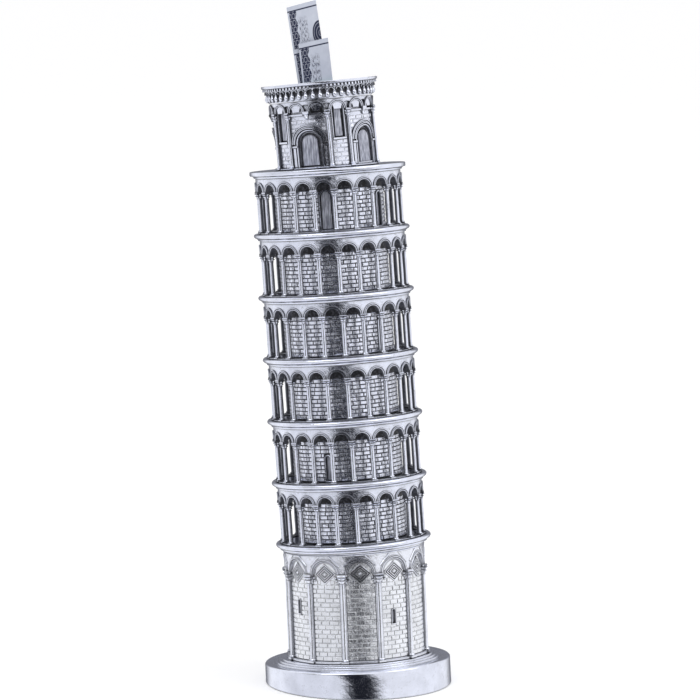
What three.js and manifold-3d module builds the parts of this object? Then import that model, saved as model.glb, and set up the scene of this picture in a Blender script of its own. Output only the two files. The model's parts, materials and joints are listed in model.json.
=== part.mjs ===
// A leaning round bell tower as a money box: a level-footed round plinth, a ground storey with
// blind arches, six open galleries, a belfry with a slotted roof, a rubber stopper underneath
// and three folded notes standing in the slot. Millimetres, +Z up, front at -Y.
// The origin is the centre of the underside, on the plane that the tower stands on.

import * as THREE from 'three';
import { mergeVertices } from 'three/addons/utils/BufferGeometryUtils.js';
import Module from 'manifold-3d';

const wasm = await Module();
wasm.setup();

// ---------------------------------------------------------------- driving dimensions

const GAP = 0.3; // clearance kept between neighbouring castings
const OVERRUN = 2; // how far a cutter runs past the face that it cuts

// the lean grows in two steps on the way up; bearings are counted from +X towards +Y
const FOOT_LEAN = { angle: 3.65, bearing: 128.5 }; // plinth and ground storey
const TOWER_LEAN = { angle: 4.8, bearing: 141.5 }; // galleries
const BELFRY_LEAN = { angle: 6.2, bearing: 150 };
const FOOT_OFFSET = 0.9; // the tower stands this far up the slope from the plinth's centre

// plinth: a round block square to its leaning axis, cut level underneath
const PLINTH_RADIUS = 54.0;
const PLINTH_HEIGHT = 13.5; // along the leaning axis, at the centre
const PLINTH_ROUNDING = 1.2;
const ROUNDING_SEGMENTS = 2;
const PLINTH_LEDGE = 6.4; // flat rim of the top, outside the steps
const STEP_COUNT = 3;
const STEP_WIDTH = 1.8;
const STEP_RISE = 0.9;
const PLINTH_SHADOW = 0.4; // the wall ends this far above the table
const HOLLOW_RADIUS = 34.0; // money chamber in the plinth and the ground storey

// underside: felt ring, closing plate and stopper, all level
const FELT_RADIUS = 49.7;
const FELT_HOLE_RADIUS = 20.5;
const FELT_THICKNESS = 1.5;
const PLATE_RADIUS = 50.0;
const PLATE_THICKNESS = 2.4;
const STOPPER_HOLE_RADIUS = 15.5;
const STOPPER_FLANGE_RADIUS = 19.0;
const STOPPER_RECESS = 0.6; // its outer face lies this far above the table
const STOPPER_TOP = 8.0;
const STOPPER_WALL = 3.0;

// levels and cornices; a cornice's top edge is the floor of the storey above
const FOOT_LEVEL = PLINTH_HEIGHT + STEP_COUNT * STEP_RISE;
const GROUND_TOP = 84.5; // along the foot's axis
const GALLERY_COUNT = 6;
const GALLERY_PITCH = 35.86;
const CORNICE_RADIUS = 45.0;
const CORNICE_DEPTH = 3.8;
const CORNICE_LIP = 2.4; // height of the outer edge
const CORNICE_OVERHANG = 2.2;
const CORE_RADIUS = 28.3; // money chamber in the galleries

// ground storey
const GROUND_BAYS = 12;
const GROUND_RADIUS = 41.3;
const GROUND_PANEL_RADIUS = 39.5;
const GROUND_COLUMN_WIDTH = 3.4;
const GROUND_ARCH_SPRING = 51.4; // above the foot
const GROUND_PANEL_FOOT = 1.6;
const SLIT_WIDTH = 2.0;
const SLIT_HEIGHT = 8.1;
const SLIT_DEPTH = 1.2;
const SLITS = [
  { bearing: -59, foot: 28.0 },
  { bearing: 28, foot: 21.5 },
  { bearing: 150, foot: 25.0 },
];

// galleries
const GALLERY_BAYS = 22;
const ARCADE_OUTER = 42.6;
const ARCADE_INNER = 39.3;
const WALL_RADIUS = 31.5;
const POST_WIDTH = 2.6;
const ARCADE_SILL = 1.2;
const ARCH_SPRING = 24.0;
const DOORWAY_DEPTH = 1.2;
const DOORWAYS = [
  [{ bearing: 98, width: 4.0, height: 19.0 }],
  [{ bearing: -25, width: 2.7, height: 15.0 }],
  [{ bearing: 188, width: 4.0, height: 19.0 }],
  [{ bearing: 45, width: 2.7, height: 19.0 }],
  [{ bearing: 122, width: 4.0, height: 19.0 }],
  [
    { bearing: -8, width: 6.7, height: 22.7 },
    { bearing: 58, width: 5.0, height: 20.0 },
    { bearing: 172, width: 6.7, height: 22.7 },
  ],
];

// belfry: five repeats of one door bay and one window bay
const BELFRY_HEIGHT = 49.2;
const BELFRY_REPEATS = 5;
const BELFRY_RADIUS = 30.3;
const BELFRY_CORE_RADIUS = 24.5;
const BELFRY_DRUM_HEIGHT = 38.9;
const WINDOW_BEARING = 14;
const RECESS_DEPTH = 2.2;
const DOOR = { halfWidth: 7.2, foot: 0.9, spring: 14.8 };
const WINDOW = { halfWidth: 3.5, foot: 16.5, spring: 32.9 };
const SMALL_ARCH = { halfWidth: 4.0, foot: 31.7, spring: 33.0, offset: 12 };
const ROOF_RIM_RADIUS = 33.5;
const ROOF_RIM_THICKNESS = 1.8;
const PARAPET_INNER_RADIUS = 29.2;
const ROOF_PLATE_RADIUS = 28.6;
const ROOF_PLATE_THICKNESS = 2.4;
const ROOF_DROP = 1.8; // the roof plate's top lies this far below the rim
const SLOT_LENGTH = 38.0;
const SLOT_WIDTH = 6.0;

// folded notes: place of each across and along the slot, lean within the slot and free height
const NOTE_WIDTH = 17.7;
const NOTE_THICKNESS = 1.1;
const NOTE_LENGTH = 78.0;
const NOTE_FOLD_SLIT = 0.3;
const NOTES = [
  { name: 'note_rear', across: 1.6, along: -3.0, tilt: 3.1, above: 48.1 },
  { name: 'note_middle', across: 0.05, along: -2.8, tilt: 3.3, above: 23.6 },
  { name: 'note_front', across: -1.5, along: -0.6, tilt: 1.0, above: 26.2 },
];

// facets around each kind of ring; an arcade has one for each bay, with its edges in the posts
const CORNICE_SEGMENTS = 36;
const WALL_SEGMENTS = 24;
const GROUND_SEGMENTS = 36;
const BELFRY_SEGMENTS = 30;
const UNDERSIDE_SEGMENTS = 36;
const ARC_SEGMENTS = 4; // for each half-round head

// ---------------------------------------------------------------- materials

const silver = new THREE.MeshStandardMaterial({ color: 0xc9ccd4, metalness: 1, roughness: 0.25 });
const darkSilver = new THREE.MeshStandardMaterial({ color: 0x8e929c, metalness: 1, roughness: 0.4 });
const rubber = new THREE.MeshStandardMaterial({ color: 0x1c1c1e, metalness: 0, roughness: 0.8 });
const felt = new THREE.MeshStandardMaterial({ color: 0x24262c, metalness: 0, roughness: 1 });
const paper = new THREE.MeshStandardMaterial({ color: 0xb4bccb, metalness: 0, roughness: 0.75 });

// ---------------------------------------------------------------- solids

function solidOf(geometry) {
  const bare = geometry.index ? geometry.toNonIndexed() : geometry.clone();
  bare.deleteAttribute('normal');
  bare.deleteAttribute('uv');
  const merged = mergeVertices(bare, 1e-4);
  const vertProperties = new Float32Array(merged.attributes.position.array);
  const triVerts = new Uint32Array(merged.index.array);
  return new wasm.Manifold(new wasm.Mesh({ numProp: 3, vertProperties, triVerts }));
}

function geometryOf(solid) {
  const { vertProperties, triVerts, numProp } = solid.getMesh();
  const positions = [];
  for (let i = 0; i < vertProperties.length; i += numProp) {
    positions.push(vertProperties[i], vertProperties[i + 1], vertProperties[i + 2]);
  }
  const geometry = new THREE.BufferGeometry();
  geometry.setAttribute('position', new THREE.Float32BufferAttribute(positions, 3));
  geometry.setIndex(Array.from(triVerts));
  geometry.computeVertexNormals();
  return geometry;
}

function cut(geometry, cutters) {
  let solid = solidOf(geometry);
  for (const cutter of cutters) solid = solid.subtract(solidOf(cutter));
  return geometryOf(solid);
}

// a closed outline of [radius, height] points, anticlockwise, turned about the Z axis
function turned(outline, segments) {
  const points = outline.map(([radius, height]) => new THREE.Vector2(radius, height));
  points.push(points[0].clone());
  return new THREE.LatheGeometry(points, segments).rotateX(Math.PI / 2);
}

function ring(inner, outer, bottom, top, segments) {
  return turned([[inner, bottom], [outer, bottom], [outer, top], [inner, top]], segments);
}

function disc(radius, bottom, top, segments) {
  return new THREE.CylinderGeometry(radius, radius, top - bottom, segments)
    .rotateX(Math.PI / 2)
    .translate(0, 0, (bottom + top) / 2);
}

// an upright opening with a half-round head, cut along a radius; bearing 0 is the front
function archedCutter({ halfWidth, foot, spring, bearing, inner, outer }) {
  const outline = [new THREE.Vector2(-halfWidth, foot), new THREE.Vector2(halfWidth, foot)];
  for (let i = 0; i <= ARC_SEGMENTS; i += 1) {
    const angle = (i / ARC_SEGMENTS) * Math.PI;
    const point = new THREE.Vector2(halfWidth * Math.cos(angle), halfWidth * Math.sin(angle));
    outline.push(point.add(new THREE.Vector2(0, spring)));
  }
  const settings = { depth: outer - inner, bevelEnabled: false };
  return new THREE.ExtrudeGeometry(new THREE.Shape(outline), settings)
    .rotateX(Math.PI / 2)
    .translate(0, -inner, 0)
    .rotateZ(THREE.MathUtils.degToRad(bearing));
}

// ---------------------------------------------------------------- leaning frames

// a frame whose Z axis leans; its origin lies at a height on the axis of the frame below
function leaningGroup({ angle, bearing }, below, height) {
  const direction = THREE.MathUtils.degToRad(bearing);
  const group = new THREE.Group();
  const turnAxis = new THREE.Vector3(-Math.sin(direction), Math.cos(direction), 0);
  group.quaternion.setFromAxisAngle(turnAxis, THREE.MathUtils.degToRad(angle));
  if (below) group.position.set(0, 0, height).applyMatrix4(below.matrix);
  group.updateMatrix();
  return group;
}

// a geometry made in one frame, seen from another
function moved(geometry, from, to) {
  return geometry.applyMatrix4(from.matrix).applyMatrix4(to.matrix.clone().invert());
}

const model = new THREE.Group();
const plinthFrame = leaningGroup(FOOT_LEAN, null, 0);
const foot = leaningGroup(FOOT_LEAN, null, 0);
const upSlope = THREE.MathUtils.degToRad(FOOT_LEAN.bearing + 180);
foot.position
  .set(FOOT_OFFSET * Math.cos(upSlope), FOOT_OFFSET * Math.sin(upSlope), 0)
  .applyQuaternion(foot.quaternion);
foot.updateMatrix();
const tower = leaningGroup(TOWER_LEAN, foot, GROUND_TOP); // height 0 is the first gallery's floor
const belfry = leaningGroup(BELFRY_LEAN, tower, GALLERY_COUNT * GALLERY_PITCH); // 0 is its floor
model.add(plinthFrame, foot, tower, belfry);

function addMesh(parent, name, geometry, material, height = 0) {
  const mesh = new THREE.Mesh(geometry, material);
  mesh.name = name;
  mesh.position.z = height;
  parent.add(mesh);
  return mesh;
}

// ---------------------------------------------------------------- plinth and underside

// made in the leaning frame of the plinth, with its level cuts moved into that frame
function plinthGeometry() {
  const outline = [[0, -PLINTH_HEIGHT], [PLINTH_RADIUS, -PLINTH_HEIGHT]];
  for (let i = 0; i <= ROUNDING_SEGMENTS; i += 1) {
    const angle = ((i / ROUNDING_SEGMENTS) * Math.PI) / 2;
    outline.push([
      PLINTH_RADIUS - PLINTH_ROUNDING * (1 - Math.cos(angle)),
      PLINTH_HEIGHT - PLINTH_ROUNDING * (1 - Math.sin(angle)),
    ]);
  }
  for (let step = 0; step < STEP_COUNT; step += 1) {
    const radius = PLINTH_RADIUS - PLINTH_LEDGE - step * STEP_WIDTH;
    outline.push([radius, PLINTH_HEIGHT + step * STEP_RISE]);
    outline.push([radius, PLINTH_HEIGHT + (step + 1) * STEP_RISE]);
  }
  outline.push([0, FOOT_LEVEL]);
  const below = new THREE.BoxGeometry(4 * PLINTH_RADIUS, 4 * PLINTH_RADIUS, 2 * PLINTH_HEIGHT)
    .translate(0, 0, PLINTH_SHADOW - PLINTH_HEIGHT);
  const recessTop = FELT_THICKNESS + GAP + PLATE_THICKNESS + GAP;
  const recess = disc(PLATE_RADIUS + GAP, -PLINTH_HEIGHT, recessTop, GROUND_SEGMENTS);
  const hollow = disc(HOLLOW_RADIUS, -PLINTH_HEIGHT, 2 * FOOT_LEVEL, GROUND_SEGMENTS);
  return cut(turned(outline, GROUND_SEGMENTS), [
    moved(below, model, plinthFrame),
    moved(recess, model, plinthFrame),
    moved(hollow, foot, plinthFrame),
  ]);
}

const plateBottom = FELT_THICKNESS + GAP;
const plateTop = plateBottom + PLATE_THICKNESS;
addMesh(plinthFrame, 'plinth', plinthGeometry(), silver);
addMesh(
  model,
  'base_plate',
  ring(STOPPER_HOLE_RADIUS, PLATE_RADIUS, plateBottom, plateTop, UNDERSIDE_SEGMENTS),
  darkSilver,
);
addMesh(
  model,
  'felt_pad',
  ring(FELT_HOLE_RADIUS, FELT_RADIUS, 0, FELT_THICKNESS, UNDERSIDE_SEGMENTS),
  felt,
);
const plugRadius = STOPPER_HOLE_RADIUS - GAP;
addMesh(
  model,
  'stopper',
  turned(
    [
      [0, STOPPER_RECESS],
      [STOPPER_FLANGE_RADIUS, STOPPER_RECESS],
      [STOPPER_FLANGE_RADIUS, FELT_THICKNESS],
      [plugRadius, FELT_THICKNESS],
      [plugRadius, STOPPER_TOP],
      [plugRadius - STOPPER_WALL, STOPPER_TOP],
      [plugRadius - STOPPER_WALL, FELT_THICKNESS + STOPPER_WALL],
      [0, FELT_THICKNESS + STOPPER_WALL],
    ],
    UNDERSIDE_SEGMENTS,
  ),
  rubber,
);

// ---------------------------------------------------------------- ground storey

const groundFoot = FOOT_LEVEL + GAP;

// heights are counted from its foot; its top is cut square to the galleries
function groundStoreyGeometry() {
  const wall = ring(HOLLOW_RADIUS, GROUND_RADIUS, 0, GROUND_TOP - groundFoot, GROUND_SEGMENTS);
  const bayWidth = 2 * GROUND_RADIUS * Math.sin(Math.PI / GROUND_BAYS);
  const cutters = [];
  for (let bay = 0; bay < GROUND_BAYS; bay += 1) {
    cutters.push(archedCutter({
      halfWidth: (bayWidth - GROUND_COLUMN_WIDTH) / 2,
      foot: GROUND_PANEL_FOOT,
      spring: GROUND_ARCH_SPRING,
      bearing: (bay * 360) / GROUND_BAYS,
      inner: GROUND_PANEL_RADIUS,
      outer: GROUND_RADIUS + OVERRUN,
    }));
  }
  for (const slit of SLITS) {
    cutters.push(archedCutter({
      halfWidth: SLIT_WIDTH / 2,
      foot: slit.foot,
      spring: slit.foot + SLIT_HEIGHT - SLIT_WIDTH / 2,
      bearing: slit.bearing,
      inner: GROUND_PANEL_RADIUS - SLIT_DEPTH,
      outer: GROUND_RADIUS + OVERRUN,
    }));
  }
  const above = new THREE.BoxGeometry(3 * GROUND_RADIUS, 3 * GROUND_RADIUS, 2 * CORNICE_DEPTH)
    .translate(0, 0, -GAP);
  cutters.push(moved(above, tower, foot).translate(0, 0, -groundFoot));
  return cut(wall, cutters);
}

addMesh(foot, 'ground_storey', groundStoreyGeometry(), silver, groundFoot);

// ---------------------------------------------------------------- cornices

// height 0 is the top edge, which is the floor of the gallery above
function corniceGeometry(coreRadius) {
  return turned(
    [
      [coreRadius, -CORNICE_DEPTH],
      [CORNICE_RADIUS - CORNICE_OVERHANG, -CORNICE_DEPTH],
      [CORNICE_RADIUS, -CORNICE_LIP],
      [CORNICE_RADIUS, 0],
      [coreRadius, 0],
    ],
    CORNICE_SEGMENTS,
  );
}

addMesh(tower, 'ground_cornice', corniceGeometry(CORE_RADIUS), silver);

// ---------------------------------------------------------------- galleries

function arcadeGeometry(height) {
  const band = ring(ARCADE_INNER, ARCADE_OUTER, 0, height, GALLERY_BAYS);
  const pitch = 360 / GALLERY_BAYS;
  const meanRadius = (ARCADE_INNER + ARCADE_OUTER) / 2;
  const bayWidth = 2 * meanRadius * Math.sin(Math.PI / GALLERY_BAYS);
  const cutters = [];
  for (let bay = 0; bay < GALLERY_BAYS; bay += 1) {
    cutters.push(archedCutter({
      halfWidth: (bayWidth - POST_WIDTH) / 2,
      foot: ARCADE_SILL,
      spring: ARCH_SPRING,
      bearing: (bay + 0.5) * pitch,
      inner: ARCADE_INNER - OVERRUN,
      outer: ARCADE_OUTER + OVERRUN,
    }));
  }
  return cut(band, cutters);
}

function wallGeometry(height, doorways) {
  const wall = ring(CORE_RADIUS, WALL_RADIUS, 0, height, WALL_SEGMENTS);
  const cutters = doorways.map(({ bearing, width, height: doorHeight }) => archedCutter({
    halfWidth: width / 2,
    foot: ARCADE_SILL,
    spring: doorHeight - width / 2,
    bearing,
    inner: WALL_RADIUS - DOORWAY_DEPTH,
    outer: WALL_RADIUS + OVERRUN,
  }));
  return cut(wall, cutters);
}

const clearHeight = GALLERY_PITCH - CORNICE_DEPTH - 2 * GAP;
for (let storey = 1; storey <= GALLERY_COUNT; storey += 1) {
  const name = `gallery_${storey}`;
  const floor = (storey - 1) * GALLERY_PITCH;
  const core = storey < GALLERY_COUNT ? CORE_RADIUS : BELFRY_CORE_RADIUS;
  const wall = wallGeometry(clearHeight, DOORWAYS[storey - 1]);
  addMesh(tower, `${name}_arcade`, arcadeGeometry(clearHeight), silver, floor + GAP);
  addMesh(tower, `${name}_wall`, wall, silver, floor + GAP);
  addMesh(tower, `${name}_cornice`, corniceGeometry(core), silver, floor + GALLERY_PITCH);
}

// ---------------------------------------------------------------- belfry and roof

// its foot is cut square to the galleries
function belfryGeometry() {
  const drum = ring(BELFRY_CORE_RADIUS, BELFRY_RADIUS, -OVERRUN, BELFRY_DRUM_HEIGHT, BELFRY_SEGMENTS);
  const reach = { inner: BELFRY_RADIUS - RECESS_DEPTH, outer: BELFRY_RADIUS + OVERRUN };
  const repeat = 360 / BELFRY_REPEATS;
  const cutters = [];
  for (let i = 0; i < BELFRY_REPEATS; i += 1) {
    const windowBearing = WINDOW_BEARING + i * repeat;
    const doorBearing = windowBearing + repeat / 2;
    cutters.push(archedCutter({ ...WINDOW, ...reach, bearing: windowBearing }));
    cutters.push(archedCutter({ ...DOOR, ...reach, bearing: doorBearing }));
    for (const side of [-1, 1]) {
      const bearing = doorBearing + side * SMALL_ARCH.offset;
      cutters.push(archedCutter({ ...SMALL_ARCH, ...reach, bearing }));
    }
  }
  const below = new THREE.BoxGeometry(3 * BELFRY_RADIUS, 3 * BELFRY_RADIUS, 2 * CORNICE_DEPTH)
    .translate(0, 0, GALLERY_COUNT * GALLERY_PITCH + GAP - CORNICE_DEPTH);
  cutters.push(moved(below, tower, belfry));
  return cut(drum, cutters);
}

addMesh(belfry, 'belfry_drum', belfryGeometry(), silver);

// height 0 is the top of the roof rim
const seat = -(ROOF_DROP + ROOF_PLATE_THICKNESS + GAP);
const corbelBottom = BELFRY_DRUM_HEIGHT + GAP - BELFRY_HEIGHT;
addMesh(
  belfry,
  'belfry_cornice',
  turned(
    [
      [BELFRY_CORE_RADIUS, corbelBottom],
      [BELFRY_RADIUS, corbelBottom],
      [ROOF_RIM_RADIUS, -ROOF_RIM_THICKNESS],
      [ROOF_RIM_RADIUS, 0],
      [PARAPET_INNER_RADIUS, 0],
      [PARAPET_INNER_RADIUS, seat],
      [BELFRY_CORE_RADIUS, seat],
    ],
    CORNICE_SEGMENTS,
  ),
  silver,
  BELFRY_HEIGHT,
);

const roofTop = BELFRY_HEIGHT - ROOF_DROP;
const slotCutter = new THREE.BoxGeometry(SLOT_LENGTH, SLOT_WIDTH, 4 * ROOF_PLATE_THICKNESS);
addMesh(
  belfry,
  'roof_plate',
  cut(disc(ROOF_PLATE_RADIUS, -ROOF_PLATE_THICKNESS, 0, CORNICE_SEGMENTS), [slotCutter]),
  silver,
  roofTop,
);

// ---------------------------------------------------------------- folded notes

// two leaves and the fold that joins them, seen from above, drawn out to the note's length
function noteGeometry(above) {
  const half = NOTE_WIDTH / 2;
  const deep = NOTE_THICKNESS / 2;
  const slit = NOTE_FOLD_SLIT / 2;
  const shape = new THREE.Shape([
    new THREE.Vector2(half, -deep),
    new THREE.Vector2(half, -slit),
    new THREE.Vector2(-half + deep, -slit),
    new THREE.Vector2(-half + deep, slit),
    new THREE.Vector2(half, slit),
    new THREE.Vector2(half, deep),
    new THREE.Vector2(-half + slit, deep),
    new THREE.Vector2(-half, slit),
    new THREE.Vector2(-half, -slit),
    new THREE.Vector2(-half + slit, -deep),
  ]);
  return new THREE.ExtrudeGeometry(shape, { depth: NOTE_LENGTH, bevelEnabled: false })
    .translate(0, 0, above - NOTE_LENGTH);
}

for (const note of NOTES) {
  const mesh = addMesh(belfry, note.name, noteGeometry(note.above), paper, roofTop);
  mesh.position.x = note.along;
  mesh.position.y = note.across;
  mesh.rotation.y = -THREE.MathUtils.degToRad(note.tilt);
}

export default model;
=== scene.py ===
# Looks for the leaning tower money box. Every casting of the frame gets a finely modelled stand-in,
# built in a leaning frame of its own: heights run along the frame's axis and bearings are counted
# from the front (-Y) towards +X. Lengths are millimetres until a shape is built.

import json
import random
from math import cos, hypot, pi, radians, sin, sqrt

import bmesh
import bpy
import numpy as np
from mathutils import Matrix, Vector


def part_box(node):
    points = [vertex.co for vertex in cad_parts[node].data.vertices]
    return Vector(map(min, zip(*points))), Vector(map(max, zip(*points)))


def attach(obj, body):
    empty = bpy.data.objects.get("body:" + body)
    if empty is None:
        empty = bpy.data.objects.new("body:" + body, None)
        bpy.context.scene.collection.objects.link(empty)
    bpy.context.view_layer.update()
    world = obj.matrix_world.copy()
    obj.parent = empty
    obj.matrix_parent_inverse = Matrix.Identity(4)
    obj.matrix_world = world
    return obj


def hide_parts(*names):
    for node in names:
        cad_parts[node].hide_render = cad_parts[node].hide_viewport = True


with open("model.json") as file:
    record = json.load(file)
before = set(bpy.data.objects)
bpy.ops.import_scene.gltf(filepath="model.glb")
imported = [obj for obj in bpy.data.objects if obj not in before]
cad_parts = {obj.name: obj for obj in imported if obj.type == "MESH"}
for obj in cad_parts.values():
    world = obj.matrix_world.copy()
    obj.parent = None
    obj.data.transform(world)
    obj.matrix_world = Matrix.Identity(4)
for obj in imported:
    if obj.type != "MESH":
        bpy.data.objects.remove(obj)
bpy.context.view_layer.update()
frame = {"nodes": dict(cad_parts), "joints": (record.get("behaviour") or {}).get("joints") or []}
MM = 0.001
TAU = 2 * pi
random.seed(7)


def new_object(name, data):
    thing = bpy.data.objects.new(name, data)
    bpy.context.scene.collection.objects.link(thing)
    return thing


# -------- camera

CAMERA_DISTANCE = 2.1
CAMERA_AZIMUTH = radians(-4.7)
CAMERA_ELEVATION = radians(7.58)
TARGET = Vector((0.0, 0.0, 0.17))
LENS = 187.2
SHIFT = (-0.0122, 0.0594)


def add_camera():
    camera = new_object("camera", bpy.data.cameras.new("camera"))
    level = cos(CAMERA_ELEVATION)
    away = Vector((sin(CAMERA_AZIMUTH) * level, -cos(CAMERA_AZIMUTH) * level, sin(CAMERA_ELEVATION)))
    camera.location = TARGET + away * CAMERA_DISTANCE
    camera.rotation_euler = (-away).to_track_quat("-Z", "Y").to_euler()
    camera.data.lens = LENS
    camera.data.sensor_width = 36
    camera.data.shift_x, camera.data.shift_y = SHIFT
    camera.data.clip_start, camera.data.clip_end = 0.05, 100
    bpy.context.scene.camera = camera


add_camera()

# -------- leaning frames


def leaning(angle, bearing, below=Matrix.Identity(4), height=0.0):
    """A frame whose Z axis leans towards a bearing counted from +X; it stands on the frame below."""
    direction = radians(bearing)
    turn_axis = Vector((-sin(direction), cos(direction), 0))
    turn = Matrix.Rotation(radians(angle), 4, turn_axis)
    return Matrix.Translation(below @ Vector((0, 0, height * MM))) @ turn


FOOT_OFFSET = 0.9
GROUND_TOP = 84.5
GALLERY_PITCH = 35.86
LEVEL = Matrix.Identity(4)
PLINTH = leaning(3.65, 128.5)
UP_SLOPE = radians(128.5 + 180)
FOOT = PLINTH @ Matrix.Translation(FOOT_OFFSET * MM * Vector((cos(UP_SLOPE), sin(UP_SLOPE), 0)))
TOWER = leaning(4.8, 141.5, FOOT, GROUND_TOP)  # height 0 is the floor of the first gallery
BELFRY = leaning(6.2, 150, TOWER, 6 * GALLERY_PITCH)  # height 0 is the floor of the belfry


def node_points(name):
    mesh = frame["nodes"][name].data
    points = np.empty(len(mesh.vertices) * 3, dtype=np.float32)
    mesh.vertices.foreach_get("co", points)
    return points.reshape(-1, 3).astype(float)


def local_points(name, place):
    turn = np.array(place.inverted())
    return (node_points(name) @ turn[:3, :3].T + turn[:3, 3]) / MM


def distances(points):
    """How far points are from their frame's axis."""
    return np.hypot(points[:, 0], points[:, 1])


def span(name, place):
    """The lowest and highest point and the least and greatest radius of a node, in a frame."""
    points = local_points(name, place)
    radii = distances(points)
    return points[:, 2].min(), points[:, 2].max(), radii.min(), radii.max()


def plane_height(place, other, height):
    """In one frame, the height of another frame's level plane over any point."""
    turn = np.array(other.inverted() @ place)
    a, b, c, d = turn[2, 0], turn[2, 1], turn[2, 2], turn[2, 3] / MM
    return lambda x, y: (height - d - a * x - b * y) / c


# -------- materials


class Nodes:
    """Short calls for building a node tree."""

    def __init__(self, tree):
        self.tree = tree
        tree.nodes.clear()

    def add(self, kind, **settings):
        node = self.tree.nodes.new(kind)
        for key, value in settings.items():
            setattr(node, key, value)
        return node

    def link(self, source, target):
        self.tree.links.new(source, target)

    def put(self, socket, value):
        if isinstance(value, bpy.types.NodeSocket):
            self.link(value, socket)
        else:
            socket.default_value = value

    def surface(self, name, value):
        self.put(self.shader.inputs[name], value)

    def math(self, operation, a, b=0.0, c=None, clamp=False):
        node = self.add("ShaderNodeMath", operation=operation, use_clamp=clamp)
        self.put(node.inputs[0], a)
        self.put(node.inputs[1], b)
        if c is not None:
            self.put(node.inputs[2], c)
        return node.outputs[0]

    def times(self, first, *others):
        for other in others:
            first = self.math("MULTIPLY", first, other)
        return first

    def vector(self, operation, a, b=None):
        node = self.add("ShaderNodeVectorMath", operation=operation)
        self.put(node.inputs[0], a)
        if b is not None:
            self.put(node.inputs[1], b)
        return node.outputs["Value" if operation == "DOT_PRODUCT" else "Vector"]

    def ramp(self, value, low, high, to_low=0.0, to_high=1.0):
        node = self.add("ShaderNodeMapRange", interpolation_type="SMOOTHSTEP")
        for socket, setting in zip(node.inputs, (value, low, high, to_low, to_high)):
            self.put(socket, setting)
        return node.outputs[0]

    def noise(self, coordinates, scale, detail=3.0, roughness=0.55):
        node = self.add("ShaderNodeTexNoise")
        self.link(coordinates, node.inputs["Vector"])
        node.inputs["Scale"].default_value = scale
        node.inputs["Detail"].default_value = detail
        node.inputs["Roughness"].default_value = roughness
        return node.outputs["Fac"]

    def mix(self, factor, a, b):
        node = self.add("ShaderNodeMix", data_type="RGBA")
        self.put(node.inputs["Factor"], factor)
        self.put(node.inputs["A"], a)
        self.put(node.inputs["B"], b)
        return node.outputs["Result"]

    def stretched(self, coordinates, scale):
        node = self.add("ShaderNodeMapping")
        node.inputs["Scale"].default_value = scale
        self.link(coordinates, node.inputs["Vector"])
        return node.outputs[0]

    def openness(self, reach):
        """Ambient occlusion that looks this far, in mm."""
        node = self.add("ShaderNodeAmbientOcclusion", samples=8)
        node.inputs["Distance"].default_value = reach * MM
        return node.outputs["AO"]

    def bump(self, height, strength, distance):
        node = self.add("ShaderNodeBump")
        node.inputs["Strength"].default_value = strength
        node.inputs["Distance"].default_value = distance
        self.link(height, node.inputs["Height"])
        self.surface("Normal", node.outputs[0])


def new_material(name):
    material = bpy.data.materials.new(name)
    material.use_nodes = True
    nodes = Nodes(material.node_tree)
    nodes.shader = nodes.add("ShaderNodeBsdfPrincipled")
    nodes.link(nodes.shader.outputs[0], nodes.add("ShaderNodeOutputMaterial").inputs[0])
    return material, nodes, nodes.add("ShaderNodeTexCoord").outputs["Object"]


def outward(nodes, place):
    """How squarely a surface faces away from the tower's axis: 1 for its outer skin, 0 for a side."""
    centred = nodes.vector("SUBTRACT", place, TOWER.to_translation())
    along = nodes.vector("PROJECT", centred, TOWER.to_3x3() @ Vector((0, 0, 1)))
    radial = nodes.vector("NORMALIZE", nodes.vector("SUBTRACT", centred, along))
    return nodes.vector("DOT_PRODUCT", radial, nodes.add("ShaderNodeNewGeometry").outputs["Normal"])


def silver_material(name, bright, gloss, reach, relief, open_at=0.85, stain=0.35, painted_side_shade=0.0, grain=1.0):
    """Plated silver with painted shade: ambient occlusion blackens its hollows, standing for patina and for
    shade alike, and the sides of raised work are darkened.

    reach is how far the painted shade of a hollow reaches, in mm; the side-shade factor sets how dark the
    painted shade on the sides of raised work is."""
    material, nodes, place = new_material(name)
    # painted shade: ambient occlusion darkens hollows towards near-black, standing for patina and for the
    # shade that falls in them
    dark = nodes.ramp(nodes.openness(reach), 0.35, open_at, 1.0, 0.0)
    # painted shade: surfaces facing sideways from the tower's axis, such as the sides of columns, mouldings
    # and bricks, are darkened
    if painted_side_shade:
        side = nodes.ramp(outward(nodes, place), 0.1, 0.7, painted_side_shade, 0.0)
        dark = nodes.math("MAXIMUM", dark, side)
    smudge = nodes.ramp(nodes.noise(place, 240, 5.0, 0.62), 0.5, 0.74)
    grime = nodes.ramp(nodes.noise(place, 1500, 4.0, 0.7), 0.46, 0.7)
    dirt = nodes.times(smudge, grime, stain)
    dark = nodes.math("ADD", dark, dirt, clamp=True)
    cloud = nodes.ramp(nodes.noise(place, 90, 3.0), 0.3, 0.7, 0.0, 1.0)
    worn = tuple(0.86 * c for c in bright)
    plated = nodes.mix(cloud, (*worn, 1), (*bright, 1))
    nodes.surface("Base Color", nodes.mix(dark, plated, (*PATINA_AND_SHADE, 1)))
    rough = nodes.math("MULTIPLY_ADD", dark, 0.25, gloss)
    nodes.surface("Roughness", nodes.math("MULTIPLY_ADD", grime, 0.07, rough))
    nodes.surface("Metallic", nodes.math("MULTIPLY_ADD", dark, -0.85, 1.0))
    waves = nodes.noise(place, 380, 2.0)
    pits = nodes.noise(place, 2400, 3.0)
    nodes.bump(nodes.math("MULTIPLY_ADD", pits, 0.35 * grain, waves), relief, 0.18 * MM)
    return material


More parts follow.
